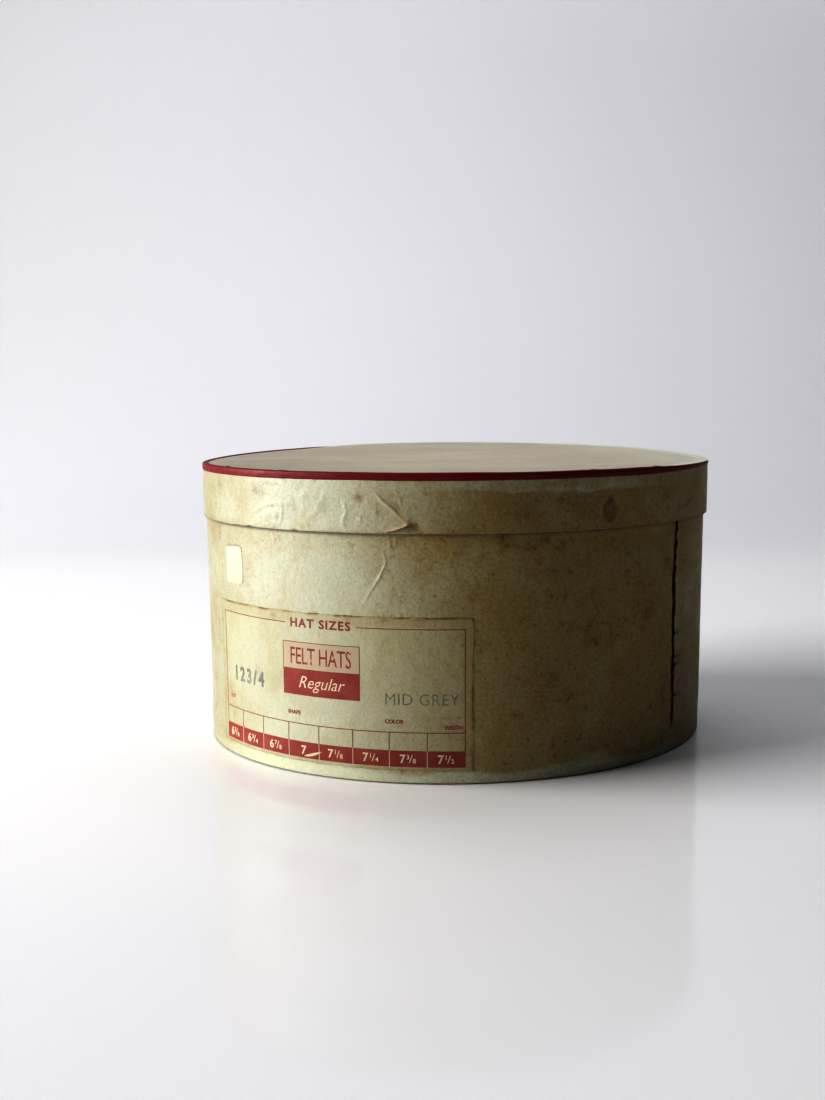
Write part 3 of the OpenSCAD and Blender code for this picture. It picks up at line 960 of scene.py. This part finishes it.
def make_label_printing():
    """The red frame, the heading, a plain two-tone block, the row of sizes and the rubber stamps."""
    red_ink = ink("dark_red_ink", rgb(0.27, 0.05, 0.038), rgb(0.36, 0.12, 0.085))
    line_ink = ink("brown_red_ink", rgb(0.22, 0.05, 0.035), rgb(0.34, 0.16, 0.10))
    light_ink = ink("bare_paper_in_the_print", rgb(0.66, 0.57, 0.42), rgb(0.55, 0.42, 0.30))
    tint_ink = ink("pink_tan_ink", rgb(0.47, 0.385, 0.285), rgb(0.49, 0.42, 0.31))
    stamp_ink = ink("grey_stamp_ink", rgb(0.17, 0.185, 0.155), rgb(0.40, 0.41, 0.30))
    columns = len(HAT_SIZES)
    edges = [column_edge(i / columns) for i in range(columns + 1)]
    heading_s = FRAME_S0 + 82.5 * MM
    gap = 23.5 * MM

    lines = Print(0.05 * MM)
    lines.bar(FRAME_S0, heading_s - gap, FRAME_Z1 - LINE, FRAME_Z1)
    lines.bar(heading_s + gap, FRAME_S1, FRAME_Z1 - LINE, FRAME_Z1)
    lines.bar(FRAME_S0, FRAME_S0 + LINE, ROW_TOP, FRAME_Z1 - LINE)
    lines.bar(FRAME_S1 - LINE, FRAME_S1, ROW_TOP, FRAME_Z1 - LINE)
    lines.bar(FRAME_S0 + LINE, FRAME_S1 - LINE, TABLE_TOP - LINE, TABLE_TOP)
    for i in range(1, columns):
        lines.bar(edges[i] - LINE / 2, edges[i] + LINE / 2, ROW_TOP, TABLE_TOP - LINE)
    lines.finish("label_rules", line_ink)

    red = Print(0.05 * MM)
    red.bar(FRAME_S0, FRAME_S1, FRAME_Z0, ROW_TOP)
    block = (heading_s - 25.6 * MM, heading_s + 25.6 * MM)
    block_low, block_middle, block_high = 48.6 * MM, 64.2 * MM, 80.8 * MM
    red.bar(block[0], block[1], block_low, block_middle)
    heading_z = FRAME_Z1 + 0.2 * MM
    red.text("HAT SIZES", heading_s, heading_z, 5.0 * MM, spread=1.18, squeeze=1.04, thicken=0.0002)
    red.text("FELT HATS", heading_s, (block_middle + block_high) / 2, 10 * MM, spread=0.95, squeeze=0.62)
    captions = (("LOT", 8, 38.4), ("SHAPE", 64.5, 37.8), ("COLOR", 128.5, 37.5), ("WIDTH", 163.0, 34.3))
    for words, along, height in captions:
        red.text(words, FRAME_S0 + along * MM, height * MM, 2.2 * MM, thicken=0.0001)
    red.finish("label_red_print", red_ink)

    tint = Print(0.04 * MM)
    tint.bar(block[0], block[1], block_middle, block_high)
    tint.finish("label_tint", tint_ink)

    trim = Print(0.07 * MM)
    trim.frame(block[0], block[1], block_middle, block_high, 0.35 * MM)
    trim.finish("label_block_outline", line_ink)

    light = Print(0.09 * MM)
    for i, words in enumerate(HAT_SIZES):
        add_size(light, words, (edges[i] + edges[i + 1]) / 2, (FRAME_Z0 + ROW_TOP) / 2)
        if i:
            light.bar(edges[i] - 0.2 * MM, edges[i] + 0.2 * MM, FRAME_Z0, ROW_TOP)
    words_z = (block_low + block_middle) / 2 + 0.5 * MM
    light.text("Regular", heading_s, words_z, 7.2 * MM, squeeze=0.95, lean=0.35)
    scrape_s = (edges[3] + 11.2 * MM, edges[4] + 1.5 * MM)
    light.scrape(*scrape_s, FRAME_Z0 + 1.3 * MM, FRAME_Z0 + 4.9 * MM, 1.8 * MM)
    light.finish("label_sizes", light_ink)

    stamp = Print(0.03 * MM)
    left_s, right_s = FRAME_S0 + 25.5 * MM, FRAME_S1 - 25.5 * MM
    stamp.text("123/4", left_s, 54.0 * MM, 8.6 * MM, spread=1.32, squeeze=0.84, thicken=0.0004)
    stamp.text("MID GREY", right_s, 50.8 * MM, 6.8 * MM, spread=1.05, squeeze=0.95, thicken=-0.0001)
    stamp.finish("label_stamps", stamp_ink)


def make_price_sticker():
    """The small blank sticker, a little crooked, with torn corners."""
    s0, s1, z0, z1 = wall_extent("price_sticker")
    middle_s, middle_z = (s0 + s1) / 2, (z0 + z1) / 2
    half_s, half_z = (s1 - s0) / 2, (z1 - z0) / 2
    s_values = np.linspace(s0, s1, 15)
    path = upright(0.0, z0, z1, 21)

    def shape(s, z, out):
        side_s, side_z = (s - middle_s) / half_s, (z - middle_z) / half_z
        corner = 0.9 * MM * (np.abs(side_s) ** 5) * (np.abs(side_z) ** 5)
        s2 = s - np.sign(side_s) * corner + 0.3 * MM * side_s**9 * field(61, 0 * s, z, 3)
        z2 = z - np.sign(side_z) * corner * 0.8 + 0.3 * MM * side_z**9 * field(62, s, 0 * z, 3)
        lean = math.radians(2.0)
        ds, dz = s2 - middle_s, z2 - middle_z
        s3 = middle_s + ds * math.cos(lean) - dz * math.sin(lean)
        z3 = middle_z + ds * math.sin(lean) + dz * math.cos(lean)
        curl = 0.12 * MM * np.abs(side_s * side_z) ** 3
        return on_wall(s3, z3, out + wall_relief(s3, z3) + 0.6 * LABEL_OUT + curl)

    solid = swept(path, LABEL_THICKNESS, s_values, shape, False)
    new_piece("price_sticker_paper", "box", "sticker_paper", solid, ["price_sticker"])


# --- lid


def make_rim_paper():
    """The strip round the rim, torn and creased at its lower edge, turned in underneath."""
    top = PANEL_TOP
    fine, middling, coarse = np.linspace(0, 0.12, 12), np.linspace(0.12, 0.34, 10), np.linspace(0.34, 1, 28)
    rows = np.concatenate([fine[:-1], middling[:-1], coarse])
    half_round = PERIMETER / MM / 2
    s_values = spaced(
        (-half_round, -205, 4.0), (-205, -175, 2.0), (-175, -120, 1.0), (-120, -100, 1.4),
        (-100, -76, 0.9), (-76, -48, 0.5), (-48, 130, 1.7), (130, half_round, 4.0),
    )[:-1]
    s = np.repeat(s_values[:, None], len(rows), axis=1)
    low = RIM_BOTTOM + tear_height(s)
    z = low + rows[None, :] * (top - low)
    relief = rim_relief(s, z)
    outer = warp_lid(on_wall(s, z, RIM_OUTSIDE + relief))
    inner = warp_lid(on_wall(s, z, RIM_OUTSIDE + relief - THIN_PAPER))
    piece = new_piece("rim_paper", "lid", "cover_paper", shell(outer, inner, True), ["lid_rim_paper"])
    s, z = wall_places(piece)
    drop = (s - 62.5 * MM) / (4.6 * MM * (0.55 + 0.45 * before(z, 167, 10)))
    drop_z = (z - 158.5 * MM) / (7 * MM)
    from_middle = np.hypot(drop, drop_z)
    stain = 0.5 * bell(from_middle**3) + 0.55 * bell((from_middle - 0.92) / 0.2)
    hem = 0.3 * before(z - RIM_BOTTOM, 5, 5) * (0.5 + 0.5 * field(71, s, z, 9))
    patch = bell(np.hypot((s + 54.6 * MM) / (2.6 * MM), (z - 151.2 * MM) / (2.6 * MM)) ** 2)
    write_attribute(piece, "brown_and_painted_shade", 0.8 * stain + hem + patch + painted_warm_shade_to_right(s))
    write_attribute(piece, "fox", spotted(s, z, RIM_SPOTS) + 0.9 * stain)
    write_attribute(piece, "painted_shade_left", painted_shade_left_end(s))
    above = z - (RIM_BOTTOM + tear_height(s))
    in_tear = after(s - TEAR_LEFT, 0, 3) * before(s - TEAR_RIGHT, 0.6, 1)
    torn = in_tear * before(above, 1.7, 0.9) * (0.85 + 0.3 * field(73, s, z, 1.8))
    write_attribute(piece, "torn", torn)
    hem_dirt = 0.25 * before(above, 0.9, 0.7) * (0.7 + 0.5 * field(74, s, 0 * s, 7))
    write_attribute(piece, "grime_and_painted_shade", 0.45 * patch + 0.3 * stain + hem_dirt * (1 - in_tear))
    scuff = 0.6 * near(s, 36, 16) * near(z, 171.5, 1.8)
    faded_edge = 170 * MM + 1.6 * MM * field(75, s, 0 * s, 22)
    scuff += 0.55 * after(z - faded_edge, 0, 1.8) * after(s, -70, 60) * before(s, 140, 60)
    # a pale worn lip and a painted highlight along the rim paper's lower edge
    worn_lip_and_painted_highlight = 0.7 * before(above, 0.5, 0.5) * after(s, -40, 20) * before(s, 80, 20)
    write_attribute(piece, "pale_and_painted_highlight", scuff * (0.75 + 0.4 * field(72, s, z, 6)) + worn_lip_and_painted_highlight + 0.8 * painted_sheen_left_front(s))


def make_rim_turn_in():
    """The hem of the rim paper, folded under the rim strip and up its inner side."""
    radius = (RIM_OUTSIDE - RIM_INSIDE) / 2 - 0.1 * MM
    centre = ((RIM_OUTSIDE + RIM_INSIDE) / 2 - 0.06 * MM, RIM_BOTTOM + radius + 0.05 * MM)
    path = [(RIM_INSIDE, RIM_TURN_IN_TOP), (RIM_INSIDE, RIM_TURN_IN_TOP - 3 * MM)]
    path += arc_path(centre, radius, 180, 330, 8)
    new_piece("rim_turn_in", "lid", "cover_paper", swept(path, PAPER * 0.8, ROUND_THE_WALL, rim_shape, True))


def rim_shape(s, z, out):
    """Points of the rim's hidden layers, which belly out and warp with it."""
    return warp_lid(on_wall(s, z, out + rim_slack(wrapped(s), z)))


def make_rim_layers():
    """The pasteboard strip of the rim, butted at the joint behind, its lining, tape and corner strip."""
    low, high = RIM_BOTTOM + 0.5 * MM, PANEL_TOP + 0.6 * MM
    gap = 0.4 * MM
    sunk = 0.12 * MM
    s_values = spaced(((RIM_JOINT_PLACE - PERIMETER + gap) / MM, (RIM_JOINT_PLACE - gap) / MM, 3.0))
    path = upright(RIM_BOARD_OUTSIDE - sunk, low, high, 10)
    thickness = RIM_BOARD_OUTSIDE - RIM_BOARD_INSIDE - sunk
    solid = swept(path, thickness, s_values, rim_shape, False)
    strip = new_piece("rim_strip", "lid", "pasteboard", solid, ["lid_rim_strip"])
    s, z = wall_places(strip)
    # painted shade: the board is darkened where it shows in the tear under the lifted flap
    write_attribute(strip, "grime_and_painted_shade", 0.4 * near(s - TEAR_PEAK, 1.5, 3) * before(z, 160, 5))

    path = upright(RIM_INSIDE, LID_CORNER_BOTTOM, RIM_TURN_IN_TOP, 6)
    solid = swept(path, THIN_PAPER, ROUND_THE_WALL, rim_shape, True)
    new_piece("rim_lining", "lid", "lining_paper", solid, ["rim_lining_paper"])

    s0, s1, low, high = wall_extent("rim_joint_tape")
    path = upright(RIM_INSIDE - PAPER, high, low, 6)
    solid = swept(path, THIN_PAPER, np.linspace(s0, s1, 12), rim_shape, False)
    new_piece("rim_tape", "lid", "gummed_paper", solid, ["rim_joint_tape"])

    top = LID_BOARD_LOW.z - PAPER
    inner = LID_LINING_HALF - HALF_LENGTH
    path = [(inner, top)] + straight((inner, top), (RIM_INSIDE - 1.5 * MM, top), 6)[1:]
    path += arc_path((RIM_INSIDE - 1.2 * MM, top - 1.2 * MM), 1.2 * MM, 90, 0, 6)
    path += [(RIM_INSIDE, z) for z in np.linspace(top - 2 * MM, LID_CORNER_BOTTOM, 5)]

    def corner(s, z, out):
        points = on_wall(s, z, out + rim_slack(wrapped(s), z) * after(out, -6, 6))
        share = np.clip((out - inner) / (RIM_INSIDE - inner), 0.0, 1.0)
        panel = panel_rise(points[..., 0], points[..., 1]) - lid_lift_at(points[..., 0], points[..., 1])
        up = (z - LID_CORNER_BOTTOM) / (top - LID_CORNER_BOTTOM)
        points[..., 2] += panel * smooth((1 - share) * 1.3) * smooth(up)
        return warp_lid(points)

    solid = swept(path[::-1], PAPER * 0.9, ROUND_THE_WALL, corner, True)
    new_piece("lid_corner_tape", "lid", "gummed_paper", solid, ["lid_corner_strip"])


BINDING_JOINT = -137 * MM
# (distance, length, height) of the binding's bumps, in mm
BINDING_BUMPS = (
    (-187, 1.6, 0.5), (-146, 1.2, 0.15), (52, 2.0, 0.3), (102, 2.6, 0.45), (240, 2.0, 0.3), (398, 1.5, 0.8),
)


def toward_right_end(s):
    """How far a place on the wall is in the stretch round the box's right-hand end, from 0 to 1."""
    return after(s, 70, 130) * before(s, 350, 90)


def make_edge_binding():
    """The red binding: a rounded bead folded over the rim's top edge, lapped at its joint."""
    width = 4.2 * MM
    out_face, in_face = BINDING_OUTSIDE, BINDING_OUTSIDE - width
    height = BINDING_TOP - BINDING_BOTTOM
    corner = 1.3 * MM
    face = ((-0.4, 0.0), (-0.08, 0.35), (0.0, 0.8), (-0.1, 1.35), (0.0, 1.8), (0.04, 2.3), (-0.06, 2.8))
    path = [(out_face + out * MM, BINDING_BOTTOM + up * MM) for out, up in face]
    path += arc_path((out_face - corner, BINDING_TOP - corner), corner, 5, 90, 7)
    path += arc_path((in_face + corner, BINDING_TOP - corner), corner, 90, 175, 7)
    path += [(in_face, PANEL_TOP - up * MM) for up in (0.0, 1.0, 2.6)]
    joint = BINDING_JOINT / MM
    back = joint - PERIMETER / MM
    s_values = spaced(
        (back - 1.5, back + 6, 0.5), (back + 6, -230, 2.5), (-230, joint - 4, 1.2), (joint - 4, joint, 0.5)
    )

    def shape(s, z, out):
        place = wrapped(s)
        top_share = smooth((z - BINDING_BOTTOM) / height)
        right = toward_right_end(place)
        front = 0.1 * MM * after(place, -190, 60) * before(place, 240, 60)
        rise = (1.7 * MM * right + front + 0.15 * MM * field(84, place, 0 * place, 30)) * (1 - top_share)
        sag = 0.8 * MM * right + 0.14 * MM * field(81, place, 0 * place, 22)
        bumps = 0.0 * place
        for centre, size, tall in BINDING_BUMPS:
            bumps = bumps + tall * MM * near(place, centre, size)
        lap = MM * (0.3 * before(s, back + 6, 6) + 0.12 * after(s, joint - 3, 3))
        wobble = 0.09 * MM * field(82, place, z, 14) + 0.05 * MM * field(83, place, z * 4, 5)
        return warp_lid(on_wall(s, z + rise + top_share * (bumps - sag + lap), out + wobble + lap * 0.8))

    solid = swept(path, 0.4 * MM, s_values, shape, False)
    new_piece("edge_binding", "lid", "binding_paper", solid, ["lid_edge_binding"])


def oval_disc(half_length, z_top, thickness, relief, rings, reach=0.0, spokes=240):
    """Closed thin oval disc; relief(x, y) is its rise, and reach how much further it goes at the right."""
    inset = HALF_LENGTH - half_length
    share = np.linspace(0.02, 1.0, rings) ** 0.8
    angle = np.radians(np.arange(spokes) * 360 / spokes)
    half_width = HALF_WIDTH - inset
    x = half_length * np.outer(np.cos(angle), share)
    y = half_width * np.outer(np.sin(angle), share)
    rise = relief(x, y)
    spill = 1 + reach / HALF_LENGTH * np.broadcast_to(share, x.shape) * smooth(x / HALF_LENGTH * 1.25)
    x, y = x * spill, y * spill
    outer = np.stack([x, y, z_top + rise], -1)
    inner = np.stack([x, y, z_top + rise - thickness], -1)
    rows, columns = x.shape
    count = rows * columns
    vertices = np.concatenate([outer.reshape(-1, 3), inner.reshape(-1, 3)])
    faces = grid_faces(rows, columns, 0, True, True) + grid_faces(rows, columns, count, True, False)
    last = [i * columns + columns - 1 for i in range(rows)] + [columns - 1]
    faces += strip_faces(last, [count + i for i in last], False)
    first = [i * columns for i in range(rows)]
    faces.append(first)
    faces.append([count + i for i in first][::-1])
    return vertices, faces


def panel_rise(x, y):
    """Rise of the lid's top panel: sunk inside the binding at the left, bulging over it at the right."""
    share = np.hypot(x / HALF_LENGTH, y / HALF_WIDTH)
    left = smooth((0.42 - x / HALF_LENGTH) / 1.25)
    edge = (1 - left) * 1.15 + left * 0.95
    behind = smooth(y / HALF_WIDTH * 1.6) * after(x, -100, 60)
    edge = edge + 1.0 * behind * smooth((share - 0.6) / 0.4)
    dish = -0.7 * (1 - smooth(share * 1.15))
    soft = 0.3 * field(91, x * 1.5, y, 70) * smooth((1 - share) * 4)
    return MM * (edge + dish + soft) + lid_lift_at(x, y)


def make_lid_top():
    """The top panel's paper, board and lining, all following the same warp."""
    half = LID_BOARD_HIGH.x - 0.3 * MM
    solid = oval_disc(half, PANEL_TOP, PAPER, panel_rise, rings=60, reach=1.9 * MM)
    paper = new_piece("top_paper", "lid", "top_paper", solid, ["lid_top_paper"])
    x, y = points_of(paper).T[:2]
    share = np.hypot(x / HALF_LENGTH, y / HALF_WIDTH)
    margin = smooth((share - 0.955 + 0.015 * field(92, x * 2, y * 2, 30)) / 0.025)
    # painted reflection: the margin grows paler toward the right and the right-hand end is paler
    painted_reflection_to_right = 0.35 + 0.65 * after(x, -20, 120)
    painted_reflection_right_end = 0.4 * after(x, 75, 70)
    write_attribute(paper, "pale_and_painted_highlight", margin * painted_reflection_to_right * 0.85 + painted_reflection_right_end)
    # painted shade: the left of the lid's top is darkened
    write_attribute(paper, "painted_shade_left", before(x, -50, 90))
    thickness = LID_BOARD_HIGH.z - LID_BOARD_LOW.z
    solid = oval_disc(half, PANEL_TOP - PAPER * 1.02, thickness, panel_rise, rings=20)
    new_piece("top_board", "lid", "pasteboard", solid, ["lid_top_board"])
    solid = oval_disc(LID_LINING_HALF, PANEL_TOP - PAPER * 1.04 - thickness, PAPER, panel_rise, rings=30)
    new_piece("lid_lining", "lid", "lining_paper", solid, ["lid_lining_paper"])


# --- camera, light and floor


VIEW_HEADING = math.radians(-10.31)  # of the camera, and of the stage behind the box


def make_camera():
    """A 39 mm lens from the left of the front, a little above the box."""
    data = bpy.data.cameras.new("camera")
    data.sensor_width = 36.0
    data.lens = 38.9
    camera = bpy.data.objects.new("camera", data)
    bpy.context.scene.collection.objects.link(camera)
    pitch, roll = math.radians(7.70), math.radians(-0.29)
    turn = Matrix.Rotation(VIEW_HEADING, 4, "Z") @ Matrix.Rotation(math.pi / 2 - pitch, 4, "X")
    place = Matrix.Translation((-0.1748, -0.7914, 0.2285))
    camera.matrix_world = place @ turn @ Matrix.Rotation(roll, 4, "Z")
    bpy.context.scene.camera = camera


def area_light(name, place, target, size, power, colour, spread):
    """A soft rectangular lamp aimed at a point."""
    data = bpy.data.lights.new(name, "AREA")
    data.shape = "RECTANGLE"
    data.size, data.size_y = size
    data.energy = power
    data.color = colour
    data.spread = math.radians(spread)
    lamp = bpy.data.objects.new(name, data)
    lamp.location = place
    lamp.rotation_mode = "QUATERNION"
    lamp.rotation_quaternion = (target - place).to_track_quat("-Z", "Y")
    bpy.context.scene.collection.objects.link(lamp)


def stage_material(name, base, backdrop, specular):
    """Plain pale surface: glossy where the box stands, duller where it sweeps up into the backdrop, and
    darkened by painted shade toward the window lamp on the left.
    """
    n = Nodes(name, 0.2, specular)
    split = n.node("ShaderNodeSeparateXYZ")
    n.feed(split.inputs[0], n.place)
    colour = n.mix(n.ramp(split.outputs["Y"], 0.6, 1.2), base, backdrop)
    # painted shade: the floor and backdrop are darkened toward the window lamp on the left
    to_left = n.ramp(split.outputs["X"], -1.7, 0.1, 0.0, 1.0)
    painted_shade_near_lamp = n.times(to_left, n.ramp(split.outputs["Y"], 0.5, 1.1, 0.18, 0.5))
    n.feed(n.shader.inputs["Base Color"], n.mix(painted_shade_near_lamp, colour, rgb(0.3, 0.3, 0.31)))
    n.feed(n.shader.inputs["Roughness"], n.ramp(split.outputs["Y"], -0.25, 0.35, 0.5, 0.1))
    return n.material


def make_stage():
    """A glossy pale floor that sweeps up into a plain backdrop, and soft daylight from the left."""
    turn = Matrix.Rotation(VIEW_HEADING, 4, "Z")
    sweep, sweep_points, half_across = 0.9, 31, 4.0
    section = [(-3.0, 0.0), (0.85, 0.0)]
    section += arc_path((sweep, sweep), sweep, -90, 0, sweep_points)
    section += [(2 * sweep, 4.0)]
    vertices = [(side, along, up) for along, up in section for side in (-half_across, half_across)]
    faces = [(2 * i, 2 * i + 1, 2 * i + 3, 2 * i + 2) for i in range(len(section) - 1)]
    mesh = bpy.data.meshes.new("floor")
    mesh.from_pydata(vertices, [], faces)
    mesh.polygons.foreach_set("use_smooth", [1 < i <= sweep_points for i in range(len(faces))])
    mesh.materials.append(stage_material("pale_floor", rgb(0.84, 0.84, 0.86), rgb(0.76, 0.76, 0.79), 0.22))
    floor = bpy.data.objects.new("floor", mesh)
    floor.matrix_world = turn
    bpy.context.scene.collection.objects.link(floor)
    world = bpy.data.worlds.new("studio")
    world.use_nodes = True
    sky = world.node_tree.nodes["Background"]
    sky.inputs["Color"].default_value = rgb(0.9, 0.92, 1.0)
    sky.inputs["Strength"].default_value = 0.006
    bpy.context.scene.world = world
    warm, cool = (1.0, 0.985, 0.965), (0.97, 0.98, 1.0)
    for name, place, target, size, power, colour, spread in (
        ("window", (-2.6, -0.37, 0.98), (0, 0, 0.1), (1.9, 1.6), 86.0, warm, 125),
        ("ceiling", (0.3, 0.7, 2.4), (0.3, 0.68, 0.0), (2.8, 1.6), 26.0, cool, 180),
        ("backdrop_light", (1.1, 0.75, 2.3), (1.3, 1.8, 1.25), (1.4, 0.6), 1.2, cool, 100),
    ):
        area_light(name, turn @ Vector(place), turn @ Vector(target), size, power, colour, spread)


make_camera()
make_stage()
make_wall_cover_paper()
make_wall_layers()
make_size_label()
make_label_printing()
make_price_sticker()
make_rim_paper()
make_rim_turn_in()
make_rim_layers()
make_edge_binding()
make_lid_top()

for node, material in (
    ("bottom_board", "pasteboard"), ("bottom_cover_paper", "bottom_paper"),
    ("floor_lining_paper", "lining_paper"), ("floor_corner_strip", "gummed_paper"),
):
    cad = frame["nodes"][node]
    cad.data.materials.clear()
    cad.data.materials.append(MATERIALS[material])

view = bpy.context.scene.view_settings
view.view_transform = "Standard"
view.gamma = 0.62
